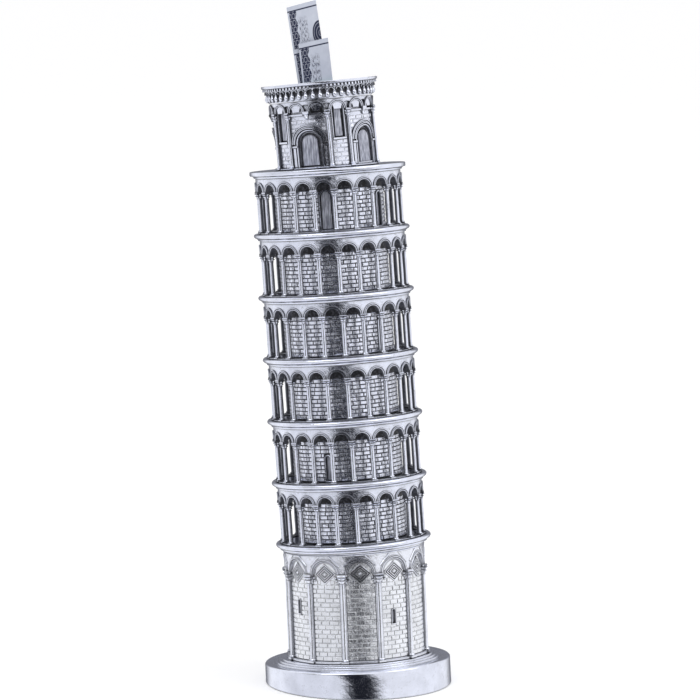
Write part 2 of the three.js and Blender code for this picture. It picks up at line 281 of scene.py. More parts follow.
def leaf_material(name):
    """The panels of doors and windows: grey silver with upright streaks, and painted shade where they sit in
    hollows.
    """
    material, nodes, place = new_material(name)
    streaks = nodes.noise(nodes.stretched(place, (1, 1, 0.1)), 1500, 3.0, 0.6)
    # painted shade: ambient occlusion darkens the panels' edges in their recesses
    dark = nodes.ramp(nodes.openness(1.6), 0.25, 0.8, 1.0, 0.0)
    tone = nodes.mix(nodes.ramp(streaks, 0.35, 0.65), (0.24, 0.25, 0.31, 1), (0.60, 0.62, 0.71, 1))
    nodes.surface("Base Color", nodes.mix(dark, tone, (*PATINA_AND_SHADE, 1)))
    nodes.surface("Metallic", 0.85)
    nodes.surface("Roughness", 0.5)
    nodes.bump(streaks, 0.8, 0.2 * MM)
    return material


def patina_and_shade_material(name):
    """Near-black with faint mottling: tarnish in joints, and painted shade behind arch heads, in openings and
    under corbels.
    """
    material, nodes, place = new_material(name)
    mottle = nodes.noise(place, 700, 4.0, 0.65)
    rub = nodes.ramp(mottle, 0.45, 0.75)
    nodes.surface("Base Color", nodes.mix(rub, (*PATINA_AND_SHADE, 1), (0.16, 0.165, 0.2, 1)))
    nodes.surface("Metallic", nodes.ramp(mottle, 0.4, 0.75, 0.0, 0.7))
    nodes.surface("Roughness", 0.45)
    nodes.bump(mottle, 0.8, 0.3 * MM)
    return material


def plain_material(name, dark, light, scale, roughness, relief):
    """Felt and rubber: two close tones mixed by noise over a fine bump."""
    material, nodes, place = new_material(name)
    blotch = nodes.noise(place, scale, 4.0, 0.65)
    nodes.surface("Base Color", nodes.mix(blotch, (*dark, 1), (*light, 1)))
    rough = nodes.ramp(blotch, 0.2, 0.8, roughness - 0.08, roughness + 0.06)
    nodes.surface("Roughness", rough)
    nodes.bump(blotch, relief, 0.2 * MM)
    return material


BRIGHT = (0.815, 0.848, 0.975)
# the near-black used both for tarnish and for painted shade
PATINA_AND_SHADE = (0.012, 0.013, 0.02)
silver = silver_material("silver", BRIGHT, 0.12, 2.2, 0.6, open_at=0.92, stain=0.7, painted_side_shade=0.9)
silver_smooth = silver_material("silver_smooth", BRIGHT, 0.1, 1.8, 0.35)
silver_ground = silver_material("silver_ground", (0.92, 0.94, 1.0), 0.22, 0.7, 0.9, stain=0.45, painted_side_shade=0.8)
silver_brick = silver_material("silver_brick", (0.845, 0.873, 0.99), 0.1, 1.6, 0.6, open_at=0.95,
                               stain=1.6, painted_side_shade=0.95, grain=2.0)
silver_cast = silver_material("silver_cast", (0.87, 0.895, 0.99), 0.16, 1.7, 0.6, open_at=0.92,
                              stain=0.7, painted_side_shade=0.55)
silver_relief = silver_material("silver_relief", (0.9, 0.925, 1.0), 0.2, 1.5, 0.6, open_at=0.97, stain=0.8)
silver_leaf = leaf_material("silver_leaf")
patina_and_shade = patina_and_shade_material("patina_and_shade")
dull_silver = silver_material("dull_silver", (0.45, 0.46, 0.50), 0.4, 2.0, 0.6)
rubber = plain_material("rubber", (0.012, 0.012, 0.013), (0.03, 0.03, 0.032), 900, 0.62, 0.3)
felt = plain_material("felt", (0.012, 0.013, 0.02), (0.05, 0.054, 0.07), 2600, 0.9, 1.0)

# -------- shapes


def polar(radius, bearing, height):
    return (radius * sin(bearing), -radius * cos(bearing), height)


def loft(rings, size, closed=False):
    """Faces that join rings of points in turn: a loop if closed, else with a cap at each end."""
    faces = []
    for i in range(rings if closed else rings - 1):
        j = (i + 1) % rings
        for k in range(size):
            m = (k + 1) % size
            faces.append((i * size + k, j * size + k, j * size + m, i * size + m))
    if not closed:
        last = (rings - 1) * size
        faces += [tuple(range(size - 1, -1, -1)), tuple(range(last, last + size))]
    return faces


class Shape:
    """Closed solids collected in one frame and built as one piece."""

    def __init__(self, place):
        self.place = place
        self.points = []
        self.faces = []

    def add(self, points, faces):
        base = len(self.points)
        self.points.extend(points)
        self.faces.extend(tuple(base + i for i in face) for face in faces)

    def turned(self, outline, segments=256):
        """A closed outline of [radius, height] points turned about the frame's axis."""
        points = [polar(r, TAU * i / segments, u) for i in range(segments) for r, u in outline]
        self.add(points, loft(segments, len(outline), closed=True))

    def upright(self, bearing, radius, rows, segments=16, lobes=8):
        """A column standing at a bearing: rows of (radius, height, squareness, lobe depth)."""
        cx, cy, _ = polar(radius, bearing, 0)
        points = []
        for r, u, square, lobe in rows:
            for i in range(segments):
                turn = TAU * i / segments
                corner = 1 / max(abs(cos(turn)), abs(sin(turn)))
                reach = r * (1 + square * (corner - 1)) * (1 + lobe * cos(lobes * turn))
                angle = turn + bearing
                points.append((cx + reach * cos(angle), cy + reach * sin(angle), u))
        self.add(points, loft(len(rows), segments))

    def plaque(self, bearing, outline, back, front, bevel=0.25, jitter=0.0):
        """A block raised from a round wall; its outline is [across, height] points at the front radius.

        jitter roughens its front by up to that many mm."""
        centre = np.mean(outline, axis=0)
        points = []
        tilt = [random.uniform(-jitter, jitter) for _ in outline]
        for level in range(3):
            for (s, u), lean in zip(outline, tilt):
                r = (back, front + lean - bevel, front + lean)[level]
                if level == 2:
                    away = np.array((s, u)) - centre
                    away *= 1 - bevel / np.maximum(np.abs(away).max(), 2 * bevel)
                    s, u = centre + away
                points.append(polar(r, bearing + s / front, u))
        self.add(points, loft(3, len(outline)))

    def bar(self, bearing, across, low, high, back, front, bevel=0.25, shift=0.0):
        left, right = shift - across / 2, shift + across / 2
        self.plaque(bearing, [(left, low), (right, low), (right, high), (left, high)], back, front, bevel)

    def brick(self, bearing, across, low, high, back, front, lean, bevel=0.18):
        """A block whose face follows the round of the wall, with narrow flat chamfers."""
        inner = across / 2 - bevel
        stations = [(-across / 2, front - bevel)] + [(inner * i / 2, front) for i in range(-2, 3)]
        stations.append((across / 2, front - bevel))
        points = []
        for s, r in stations:
            b = bearing + s / front
            points += [polar(back, b, low), polar(front - bevel, b, low), polar(r + lean, b, low + bevel)]
            points += [polar(r - lean, b, high - bevel), polar(front - bevel, b, high), polar(back, b, high)]
        self.add(points, loft(len(stations), 6))

    def rib(self, bearing, path, band, surface, closed=False):
        """A raised band (width, height) drawn along a path of (across, height, normal) points."""
        section = band_section(*band)
        points = []
        for s, u, (ns, nu) in path:
            for w, h in section:
                points.append(polar(surface + h, bearing + (s + w * ns) / surface, u + w * nu))
        self.add(points, loft(len(path), len(section), closed))

    def arch(self, bearing, radius, spring, band, surface, foot=None, steps=16):
        """A half-round rib, with straight legs down to foot if one is given."""
        path = []
        if foot is not None:
            path.append((radius, foot, (1, 0)))
        for i in range(steps + 1):
            angle = pi * i / steps
            c, s = cos(angle), sin(angle)
            path.append((radius * c, spring + radius * s, (c, s)))
        if foot is not None:
            path.append((-radius, foot, (-1, 0)))
        self.rib(bearing, path, band, surface)

    def arch_band(self, bays, phase, opening, spring, top, inner, outer, steps=14):
        """A ring from the springing up, with one half-round opening to each bay."""
        half = pi / bays
        reach = opening / outer
        profile = [(-half, spring)]
        for i in range(steps + 1):
            angle = pi - pi * i / steps
            profile.append((reach * cos(angle), spring + opening * sin(angle)))
        columns = [(phase + 2 * half * bay + b, u) for bay in range(bays) for b, u in profile]
        points = []
        for b, u in columns:
            middle = (u + top) / 2
            points += [polar(outer, b, u), polar(outer, b, middle), polar(outer, b, top)]
            points += [polar(inner, b, top), polar(inner, b, u)]
        self.add(points, loft(len(columns), 5, closed=True))

    def build(self, name, material, replaces=(), body="tower", slot="silver", carve=None, sharp=40,
              warp=None):
        """Makes the piece: warp moves its heights, carve is a shape that is taken away from it."""
        turn = np.array(self.place)
        local = np.array(self.points, dtype=float)
        if warp:
            local[:, 2] += warp(local)
        points = (local * MM) @ turn[:3, :3].T + turn[:3, 3]
        mesh = bpy.data.meshes.new(name)
        mesh.from_pydata(points.tolist(), [], self.faces)
        work = bmesh.new()
        work.from_mesh(mesh)
        bmesh.ops.remove_doubles(work, verts=work.verts, dist=1e-7)
        bmesh.ops.recalc_face_normals(work, faces=work.faces)
        work.to_mesh(mesh)
        work.free()
        piece = new_object(name, mesh)
        if carve is not None:
            carve_out(piece, carve)
        piece.data.shade_smooth()
        piece.data.set_sharp_from_angle(angle=radians(sharp))
        piece.data.materials.append(material)
        if body:
            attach(piece, body)
        if replaces:
            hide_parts(*replaces)
        return piece


def carve_out(piece, cutter_shape):
    """Takes another shape's solids away from a piece."""
    cutter = cutter_shape.build("cutter", patina_and_shade, body=None)
    modifier = piece.modifiers.new("carve", "BOOLEAN")
    modifier.operation = "DIFFERENCE"
    modifier.solver = "EXACT"
    modifier.object = cutter
    evaluated = piece.evaluated_get(bpy.context.evaluated_depsgraph_get())
    carved = bpy.data.meshes.new_from_object(evaluated)
    piece.modifiers.clear()
    piece.data = carved
    bpy.data.objects.remove(cutter)


def arc(centre, radius, start, end, steps):
    angles = [radians(start + (end - start) * i / steps) for i in range(steps + 1)]
    return [(centre[0] + radius * cos(a), centre[1] + radius * sin(a)) for a in angles]


def arched_outline(half, low, spring, steps=12):
    return [(-half, low), (half, low)] + arc((0, spring), half, 0, 180, steps)


def arched_cutter(shape, bearing, half, low, spring, back, front):
    """A cutter with an arched head, drawn outwards from back to front."""
    outline = arched_outline(half, low, spring)
    points = [polar(r, bearing + s / front, u) for r in (back, front + 3) for s, u in outline]
    shape.add(points, loft(2, len(outline)))


def band_section(width, height):
    """The section of a raised band with rounded shoulders, sunk a little into its wall."""
    half = width / 2
    return [(-half, -0.4), (-half, height * 0.55), (-half * 0.55, height), (half * 0.55, height),
            (half, height * 0.55), (half, -0.4)]


# -------- brickwork

BED_JOINT = 0.4  # between courses
ROOT = 0.3  # how far raised work reaches into the wall behind it


def brick_course(shape, first, last, low, high, back, face, brick=4.6, offset=0.0, joint=0.4):
    """One course between two bearings; offset shifts its upright joints by a part of a brick."""
    length = (last - first) * face
    if length < 1.0:
        return
    edges = [0.0]
    step = (1 - offset) * brick
    while edges[-1] + step < length - 0.9:
        edges.append(edges[-1] + step)
        step = brick * random.uniform(0.88, 1.12)
    edges.append(length)
    for a, b in zip(edges, edges[1:]):
        across = b - a - joint * random.uniform(0.8, 1.3)
        lower = low + BED_JOINT / 2 + random.uniform(-0.04, 0.04)
        upper = high - BED_JOINT / 2 + random.uniform(-0.04, 0.04)
        proud = face + random.uniform(-0.08, 0.04)
        lean = random.uniform(-0.04, 0.04)
        shape.brick(first + (a + b) / 2 / face, across, lower, upper, back, proud, lean)


def courses(low, high, course=2.4):
    """Course edges between two heights, a whole number of nearly equal courses."""
    count = max(1, round((high - low) / course))
    return [low + (high - low) * i / count for i in range(count + 1)]


def brick_ring(shape, low, high, back, face, holes=()):
    """Courses all the way round, left out where a hole (bearing, half width, top) stands."""
    edges = courses(low, high)
    for row, (a, b) in enumerate(zip(edges, edges[1:])):
        blocked = sorted((bearing - half / face, bearing + half / face)
                         for bearing, half, top in holes if a < top)
        start = blocked[-1][1] if blocked else random.uniform(0, TAU)
        for begin, end in blocked + ([] if blocked else [(start, start)]):
            stop = begin + (0 if begin > start else TAU)
            brick_course(shape, start, stop, a, b, back, face, offset=0.5 * (row % 2))
            start = end


# -------- columns


# rows of (part of the shaft's radius, part of the height, squareness, lobe depth), from the foot up
COLUMN_BASE = [(1.5, 0, 1, 0), (1.5, 0.35, 1, 0), (1.35, 0.42, 0, 0), (1.5, 0.6, 0, 0), (1.35, 0.78, 0, 0),
               (1.05, 0.85, 0, 0), (1, 1, 0, 0)]
CAPITAL = [(1.22, 0.03, 0, 0), (1.22, 0.1, 0, 0), (0.95, 0.14, 0, 0.02), (1.15, 0.26, 0, 0.1),
           (1.6, 0.4, 0, 0.2), (1.15, 0.46, 0, 0.1), (1.35, 0.58, 0.1, 0.12), (1.9, 0.72, 0.3, 0.2),
           (1.3, 0.77, 0.8, 0), (1.7, 0.81, 1, 0), (1.75, 0.9, 1, 0), (1.6, 0.93, 1, 0), (1.7, 1, 1, 0)]


def column_rows(foot, spring, shaft, base, capital):
    """Base, shaft and leafy capital of a column whose capital ends at the springing."""
    top = spring - capital
    rows = [(shaft * r, foot + base * u, square, lobe) for r, u, square, lobe in COLUMN_BASE]
    rows += [(shaft * 1.03, (foot + top) / 2, 0, 0), (shaft * 0.95, top - 0.1, 0, 0)]
    return rows + [(shaft * r, top + capital * u, square, lobe) for r, u, square, lobe in CAPITAL]


# -------- plinth and underside


def plinth_piece():
    _, top, _, radius = span("plinth", PLINTH)
    step, rise, ledge, corner = 1.8, 0.9, 6.4, 0.35
    bore = 33.9
    rim = top - 3 * rise
    outline = [(bore, -8), (radius, -8), (radius - 0.1, rim - 5.0)]
    outline += arc((radius - 1.4, rim - 1.3), 1.3, 0, 90, 8)
    for i in range(3):
        r = radius - ledge - i * step
        u = rim + i * rise
        outline += [(r + 0.5, u), (r + 0.32, u - 0.12), (r + 0.1, u - 0.1), (r, u + 0.05)]
        outline += arc((r - corner, u + rise - corner), corner, 0, 90, 4)
    outline.append((bore, top))
    shape = Shape(PLINTH)
    shape.turned(outline, 360)
    cut = Shape(LEVEL)
    low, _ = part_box("plinth")
    _, plate_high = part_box("base_plate")
    floor = low[2] / MM
    recess = plate_high[2] / MM + 0.3
    plate_radius = span("base_plate", LEVEL)[3] + 0.3
    cut.turned([(0, -30), (90, -30), (90, floor), (plate_radius + 0.4, floor), (plate_radius, floor + 0.4),
                (plate_radius, recess), (0, recess)], 256)
    shape.build("plinth_cast", silver_smooth, ["plinth"], carve=cut, sharp=50)


def underside_pieces():
    for node, piece, material, slot, inside, outside in (
            ("felt_pad", "felt_ring", felt, "felt", (0.3, 0.3), (0.4, 0.35)),
            ("base_plate", "closing_plate", dull_silver, "dull_silver", (0.4, 0.4), (0.3, 0.3))):
        low, high, inner, outer = span(node, LEVEL)
        shape = Shape(LEVEL)
        shape.turned([(inner + inside[0], low), (outer - outside[0], low), (outer, low + outside[1]),
                      (outer, high), (inner, high), (inner, low + inside[1])], 192)
        shape.build(piece, material, [node], slot=slot)

    low, high, _, flange = span("stopper", LEVEL)
    points = local_points("stopper", LEVEL)
    radii = distances(points)
    plug = radii[points[:, 2] > low + 2].max()
    cup = radii[points[:, 2] > high - 0.1].min()
    under = low + 0.9
    outline = [(0, low), (6.0, low), (6.3, low + 0.3), (7.2, low + 0.3), (7.5, low), (flange - 0.4, low)]
    outline += [(flange, low + 0.35), (flange, under - 0.15), (flange - 0.2, under), (plug, under)]
    outline += [(plug, high - 0.8), (plug - 0.7, high), (cup + 0.3, high), (cup, high - 0.3)]
    outline += [(cup, low + 4.3), (cup - 0.6, low + 3.9), (0, low + 3.9)]
    shape = Shape(LEVEL)
    shape.turned(outline, 128)
    shape.build("stopper_plug", rubber, ["stopper"], body="stopper", slot="rubber")


# -------- ground storey

GROUND_BAYS = 12
GROUND_ARCH = 8.3
GROUND_SPRING = 51.4  # above its foot
SLITS = [(-59, 28.0), (28, 21.5), (150, 25.0)]


def lozenge_path(centre, half):
    """Corners with their normals, stretched so that the band keeps its width on all four sides."""
    tall = 0.87 * half
    corner = sqrt(2)
    return [(half, centre, (corner, 0)), (0, centre + tall, (0, corner)),
            (-half, centre, (-corner, 0)), (0, centre - tall, (0, -corner))]


def ground_pieces():
    low, _, inner, outer = span("ground_storey", FOOT)
    spring = low + GROUND_SPRING
    crown = spring + GROUND_ARCH
    cap = plane_height(FOOT, TOWER, local_points("ground_cornice", TOWER)[:, 2].min() - 0.3)
    high = cap(0, 0)
    panel, wall = 39.3, 40.6
    back = panel - ROOT
    half = pi / GROUND_BAYS

    def warp(points):
        """Tips the top until it is square to the galleries."""
        part = np.clip((points[:, 2] - crown) / (high - crown), 0, 1)
        return part * (cap(points[:, 0], points[:, 1]) - high)

    core = Shape(FOOT)
    mortar = panel + 0.05
    core.turned([(inner, low), (mortar, low), (mortar, crown), (mortar, high), (inner, high),
                 (inner, crown)], 240)
    slits = [(radians(bearing), low + height) for bearing, height in SLITS]
    cut = Shape(FOOT)
    for bearing, sill in slits:
        arched_cutter(cut, bearing, 1.0, sill, sill + 7.1, panel - 1.2, panel)
    core.build("ground_storey_core", silver_ground, carve=cut, warp=warp)

    bricks = Shape(FOOT)

    def lay(first, last, course, offset):
        brick_course(bricks, first, last, *course, back, panel + 0.4, 5.2, offset, 0.27)

    edges = courses(low + 1.4, spring - 0.6, 2.55)
    for bay in range(GROUND_BAYS):
        centre = TAU * bay / GROUND_BAYS
        for row, course in enumerate(zip(edges, edges[1:])):
            first, last = centre - half + 1.8 / panel, centre + half - 1.8 / panel
            beside_lozenge = 6.0 - (spring - 0.2 - course[1])
            for bearing, sill in slits:
                turn = (bearing - centre + pi) % TAU - pi
                if abs(turn) < half and course[0] < sill + 8.0 and course[1] > sill:
                    lay(first, centre + turn - 1.5 / panel, course, 0.5 * (row % 2))
                    first = centre + turn + 1.5 / panel
            if beside_lozenge > 0:
                lay(first, centre - beside_lozenge / panel, course, 0.3)
                first = centre + beside_lozenge / panel
            lay(first, last, course, 0.5 * (row % 2))
    bricks.build("ground_storey_bricks", silver_ground, sharp=30)

    relief = Shape(FOOT)
    cast = Shape(FOOT)
    cast.arch_band(GROUND_BAYS, 0.0, GROUND_ARCH, spring, high, back, wall, steps=24)
    cast.turned([(back, high - 1.7), (wall + 0.3, high - 1.7), (wall + 0.5, high - 1.4),
                 (wall + 0.3, high - 1.1), (wall + 0.15, high - 1.0), (wall + 0.5, high - 0.7),
                 (wall + 0.7, high - 0.3), (wall + 0.6, high), (back, high)], 256)
    cast.turned([(back, low), (outer - 0.15, low), (outer - 0.15, low + 0.9), (outer - 0.6, low + 1.2),
                 (back, low + 1.4)], 256)
    for bay in range(GROUND_BAYS):
        centre = TAU * bay / GROUND_BAYS
        pier = centre + half
        cast.bar(pier, 3.8, low + 1, spring + 0.6, back, wall - 0.35, bevel=0.2)
        cast.upright(pier, wall - 0.55, column_rows(low + 0.2, spring, 1.42, 3.0, 6.0), segments=24)
        cast.bar(pier, 5.8, spring - 1.0, spring, back, outer - 0.05, bevel=0.3)
        for row in range(3):  # stepped leaves of the pilaster's capital
            for shift in (-3.6, -2.2, 2.2, 3.6)[row // 2:4 - row // 2]:
                cast.bar(pier, 1.2, spring - 2.5 - 1.5 * row, spring - 1.3 - 1.5 * row, back,
                         wall + 0.15 - 0.2 * row, bevel=0.4, shift=shift + 0.4 * (row % 2))
        for side in (-1, 1):
            cast.bar(pier, 1.6, spring - 5.2, spring - 1.5, back, wall - 0.1, bevel=0.5, shift=side * 1.9)
            slope = [(side * 3.0, spring + 10.9, (1, side)), (side * 9.2, spring + 4.7, (1, side))]
            cast.rib(centre, slope if side < 0 else slope[::-1], (0.65, 0.5), wall)
        for wider, band, surface, steps in ((0.95, (0.5, 0.4), wall, 28), (0.2, (0.7, 0.6), wall, 28),
                                            (-0.75, (0.7, 0.7), panel + 0.35, 28),
                                            (-1.5, (0.4, 0.45), panel + 0.1, 24)):
            cast.arch(centre, GROUND_ARCH + wider, spring, band, surface, steps=steps)
        middle = spring + 0.2
        for size in (6.2, 4.6, 3.0):
            relief.rib(centre, lozenge_path(middle, size), (0.72, 0.75), panel + 0.05, closed=True)
        relief.plaque(centre, [(-1.6, middle), (0, middle - 1.4), (1.6, middle), (0, middle + 1.4)],
                      back, panel + 0.65, bevel=0.2)
        boss = [(0.8 * cos(TAU * i / 10), middle + 0.8 * sin(TAU * i / 10)) for i in range(10)]
        relief.plaque(centre, boss, panel, panel + 1.1, bevel=0.35)
    relief.build("ground_storey_lozenges", silver_relief)
    leaves = Shape(FOOT)
    for bearing, sill in slits:
        cast.arch(bearing, 1.3, sill + 7.1, (0.45, 0.75), panel, foot=sill - 0.1)
        cast.bar(bearing, 3.2, sill - 0.6, sill, back, panel + 0.9, bevel=0.15)
        leaves.bar(bearing, 1.9, sill + 0.1, sill + 7.6, panel - 1.5, panel - 0.8)
    leaves.build("ground_storey_slit_leaves", silver_leaf)
    cast.build("ground_storey_cast", silver_cast, ["ground_storey"], warp=warp)


# -------- cornices


def cornice_piece(name, plain=False):
    low, high, inner, outer = span(name, TOWER)
    neck = 42.75
    outline = [(inner, low), (neck, low), (neck + 0.1, low + 0.5), (neck + 0.5, low + 0.9),
               (neck + 0.95, low + 1.15), (neck + 0.85, low + 1.35)]
    if plain:
        outline += [(outer - 0.25, low + 1.4), (outer, low + 1.6), (outer, high - 0.5),
                    (outer - 0.15, high - 0.15), (outer - 0.5, high), (outer - 1.5, high),
                    (outer - 1.8, high - 0.2), (inner, high - 0.2)]
    else:
        bead = (high - low - 1.45) / 2
        outline += arc((outer - bead, high - bead), bead, -80, 90, 14)
        outline += [(outer - bead - 0.4, high), (outer - bead - 0.7, high - 0.28), (inner, high - 0.3)]
    shape = Shape(TOWER)
    shape.turned(outline, 256)
    shape.build(name + "_cast", silver_smooth, [name], sharp=55)


# -------- galleries

GALLERY_BAYS = 22
GALLERY_ARCH = 4.2
GALLERY_SPRING = 24.2  # above the floor of the gallery
BRICK_TOP = 23.6  # the wall is bare above this, behind the arch heads, where its black is painted shade
COLUMN_CENTRE = 40.7
DOORWAYS = {
    1: [(98, 4.0, 19.0)],
    2: [(-25, 2.7, 15.0)],
    3: [(188, 4.0, 19.0)],
    4: [(45, 2.7, 19.0)],
    5: [(122, 4.0, 19.0)],
    6: [(-8, 6.7, 22.7), (58, 5.0, 20.0), (172, 6.7, 22.7)],
}


def gallery_pieces(number):
    name = f"gallery_{number}"
    low, high, inner, outer = span(name + "_arcade", TOWER)
    floor = low - 0.3
    spring = floor + GALLERY_SPRING
    arcade = Shape(TOWER)
    arcade.turned([(inner + 0.3, low), (outer - 0.3, low), (outer - 0.3, low + 0.35),
                   (inner + 0.3, low + 0.35)], 220)
    frieze = outer - 0.75
    arcade.arch_band(GALLERY_BAYS, pi / GALLERY_BAYS, GALLERY_ARCH, spring, high, inner, frieze)
    for bay in range(GALLERY_BAYS):
        bearing = TAU * bay / GALLERY_BAYS
        arcade.upright(bearing, COLUMN_CENTRE, column_rows(low + 0.05, spring + 0.05, 1.2, 2.0, 4.3))
        centre = bearing + pi / GALLERY_BAYS
        arcade.arch(centre, GALLERY_ARCH + 1.15, spring, (0.6, 0.7), frieze)
        arcade.arch(centre, GALLERY_ARCH + 0.3, spring, (0.6, 0.5), frieze)
    arcade.build(name + "_arcade_cast", silver, [name + "_arcade"])

    low, high, inner, outer = span(name + "_wall", TOWER)
    doors = [(radians(b) % TAU, w / 2, h) for b, w, h in DOORWAYS[number]]
    core = Shape(TOWER)
    face = outer - 0.45
    core.turned([(inner, low), (face, low), (face, high), (inner, high)], 192)
    cut = Shape(TOWER)
    for bearing, half, height in doors:
        arched_cutter(cut, bearing, half, low + 0.6, low + height - half, face - 1.2, face)
    # the near-black core shows as dark joints between bricks, and as painted shade on the bare wall behind
    # the arch heads
    core.build(name + "_core", patina_and_shade, carve=cut)
    bricks = Shape(TOWER)
    holes = [(bearing, half + 0.9, low + height + 0.6) for bearing, half, height in doors]
    brick_ring(bricks, low + 0.3, floor + BRICK_TOP, face - ROOT, outer, holes)
    bricks.build(name + "_bricks", silver_brick, [name + "_wall"], sharp=30)
    frames = Shape(TOWER)
    leaves = Shape(TOWER)
    for bearing, half, height in doors:
        head = low + height - half
        frames.arch(bearing, half + 0.4, head, (0.85, 0.95), face, foot=low + 0.3)
        frames.bar(bearing, 2 * half + 1.8, low + 0.1, low + 0.7, face - ROOT, face + 1.1, bevel=0.15)
        leaf = [(s * 0.82, u) for s, u in arched_outline(half, low + 1.0, head)]
        leaves.plaque(bearing, leaf, face - 1.4, face - 0.6, bevel=0.2)
    frames.build(name + "_doorway", silver)
    leaves.build(name + "_door", silver_leaf)


# -------- belfry

BELFRY_REPEATS = 5
WINDOW_BEARING = radians(14)
WINDOW_SPRING = 32.9
SMALL_SPRING = 33.0
SMALL_LEDGE = 31.7
SMALL_ARCH = 4.0
DOOR_SPRING = 14.8
DOOR_SURROUND = 10.9


def belfry_pieces():
    _, high, inner, outer = span("belfry_drum", BELFRY)
    floor = plane_height(BELFRY, TOWER, 6 * GALLERY_PITCH + 0.3)
    low = floor(0, 0)
    face = outer - 1.9
    wall = outer - 0.85
    back, sunk = face - ROOT, face - 1.9
    repeat = TAU / BELFRY_REPEATS
    windows = [WINDOW_BEARING + repeat * i for i in range(BELFRY_REPEATS)]
    doors = [b + repeat / 2 for b in windows]
    quarter = radians(12)

    def warp(points):
        """Tips the foot until it is square to the galleries."""
        part = np.clip((9 - points[:, 2]) / (8.5 - low), 0, 1)
        return part * (floor(points[:, 0], points[:, 1]) - low)

    core = Shape(BELFRY)
    core.turned([(inner, low), (face, low), (face, 9), (face, high), (inner, high), (inner, 9)], 240)
    cut = Shape(BELFRY)
    for b in windows:
        arched_cutter(cut, b, 3.3, 16.7, WINDOW_SPRING, sunk, face)
    for b in doors:
        arched_cutter(cut, b, 7.0, 1.5, DOOR_SPRING, sunk, face)
        arched_cutter(cut, b + quarter, 3.6, SMALL_LEDGE + 0.2, SMALL_SPRING, sunk, face)
    core.build("belfry_core", silver, carve=cut, warp=warp)

    bricks = Shape(BELFRY)

    def lay(first, last, course, row):
        brick_course(bricks, first, last, *course, back, face + 0.25, offset=0.5 * (row % 2))

    for b in windows:
        edges = courses(1.0, 15.6)
        for row, course in enumerate(zip(edges, edges[1:])):
            lay(b - 4.6 / face, b + 4.6 / face, course, row)
    for b in doors:
        edges = courses(DOOR_SPRING + 2, 28.4)
        for row, course in enumerate(zip(edges, edges[1:])):
            mid = sum(course) / 2 - DOOR_SPRING
            clear = sqrt(max(0, DOOR_SURROUND ** 2 - mid ** 2)) if mid < DOOR_SURROUND else 0.3
            for side in (-1, 1):
                near, far = b + side * clear / face, b + side * DOOR_SURROUND / face
                lay(min(near, far), max(near, far), course, row)
    bricks.build("belfry_bricks", silver_brick, sharp=30, warp=warp)

    # painted shade: near-black sheets sunk in the openings stand in for the shade inside them
    shade_sheets = Shape(BELFRY)
    openings = [(b, arched_outline(3.2, 16.8, WINDOW_SPRING)) for b in windows]
    for b in doors:
        openings.append((b, arched_outline(6.9, 1.6, DOOR_SPRING)))
        openings.append((b + quarter, arched_outline(3.5, SMALL_LEDGE + 0.3, SMALL_SPRING)))
    for b, outline in openings:
        shade_sheets.plaque(b, outline, face - 2.4, face - 1.6, bevel=0.1)
    shade_sheets.build("belfry_shade_sheets", patina_and_shade, warp=warp)

    leaves = Shape(BELFRY)
    cast = Shape(BELFRY)
    cast.arch_band(15, windows[0] + quarter, SMALL_ARCH, SMALL_SPRING, high, back, wall, steps=20)
    cast.turned([(back, low), (outer - 0.2, low), (outer - 0.2, low + 0.5), (outer - 0.6, low + 0.8),
                 (back, low + 0.9)], 200)

    def small_arch(bearing):
        cast.arch(bearing, SMALL_ARCH + 1.05, SMALL_SPRING, (0.65, 0.85), wall, steps=20)
        cast.arch(bearing, SMALL_ARCH + 0.25, SMALL_SPRING, (0.6, 0.55), wall, steps=20)

    for b in windows:
        for side in (-1, 1):
            pier = b + side * quarter
            cast.upright(pier, outer - 0.8, column_rows(low + 0.3, SMALL_SPRING, 0.98, 2.4, 5.0), segments=20)
            cast.bar(pier, 2.7, low + 0.3, SMALL_SPRING, back, face + 0.5, bevel=0.2)
        small_arch(b)
        cast.arch(b, 3.5, WINDOW_SPRING, (0.6, 0.7), face, foot=16.6, steps=20)
        leaves.plaque(b, arched_outline(2.15, 17.2, WINDOW_SPRING), face - 2.0, face - 0.7, bevel=0.35)
        cast.bar(b, 8.2, 15.7, 16.7, back, face + 1.1, bevel=0.2)
    for b in doors:
        for radius, band, surface, foot, steps in (
                (10.35, (0.7, 1.15), face, None, 32), (9.5, (0.8, 0.8), face, None, 32),
                (8.65, (0.7, 1.25), face, None, 32), (7.5, (0.9, 0.7), face, 1.2, 32),
                (6.4, (0.5, 0.5), face - 1.6, 1.7, 28)):
            cast.arch(b, radius, DOOR_SPRING, band, surface, foot=foot, steps=steps)
        leaves.plaque(b, arched_outline(4.9, 1.7, DOOR_SPRING), face - 2.0, face - 0.55, bevel=0.4)
        for side in (-1, 1):
            impost = DOOR_SPRING - 1.9
            cast.bar(b, 3.4, impost, impost + 1.0, back, face + 1.4, bevel=0.2, shift=side * 9.2)
            cast.bar(b, 1.7, low + 1.0, impost, back, face + 0.8, bevel=0.25, shift=side * 9.5)
            centre = b + side * quarter
            small_arch(centre)
            cast.bar(centre, 8.2, SMALL_LEDGE - 0.9, SMALL_LEDGE + 0.1, back, face + 1.1, bevel=0.2)
        rows = [(s, u + 28.6, q, m) for s, u, q, m in (
            (0.5, 0, 0, 0), (0.95, 0.6, 0, 0.05), (0.8, 1.1, 0, 0), (1.3, 2.2, 0.2, 0.1), (1.15, 2.5, 0.8, 0),
            (1.75, 3.2, 1, 0), (1.8, 4.4, 1, 0))]
        cast.upright(b, wall - 0.7, rows, segments=16)
    cast.build("belfry_cast", silver, ["belfry_drum"], warp=warp)
    leaves.build("belfry_doors", silver_leaf, warp=warp)


CORBELS = 46


